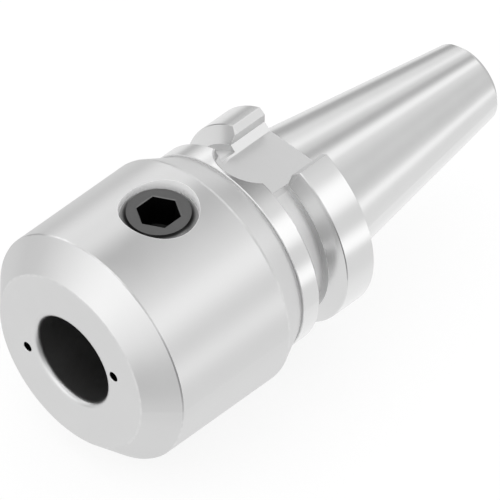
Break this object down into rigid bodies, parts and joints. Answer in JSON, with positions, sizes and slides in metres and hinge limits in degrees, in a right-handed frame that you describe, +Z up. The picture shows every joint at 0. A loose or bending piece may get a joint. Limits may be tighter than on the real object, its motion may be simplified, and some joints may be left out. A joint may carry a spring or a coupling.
{
  "type": "side lock end mill holder",
  "caption": "Steel end mill holder with a 7/24 steep taper shank, gripper flange with drive slots, a bored nose and a side set screw that clamps the cutter.",
  "frame": {"origin": "centre of the taper's gauge line, where its diameter is 31.75 mm, on the spindle axis", "axes": "+Y along the spindle axis from the nose to the taper's small end, +Z up through the side lock screw and the first drive slot, +X to the right seen from the nose"},
  "size_m": [0.052, 0.1134, 0.052],
  "materials": {
    "holder_steel": "satin turned and ground steel",
    "screw_steel": "black oxide on a hardened set screw"
  },
  "bodies": {
    "holder": {"holder_body": "holder_steel"},
    "lock_screw": {"side_lock_screw": "screw_steel"}
  },
  "joints": [
    {"name": "lock_screw_travel", "type": "slide", "parent": "holder", "child": "lock_screw", "axis": [0, 0, 1], "range_m": [-0.0025, 0.008]}
  ]
}
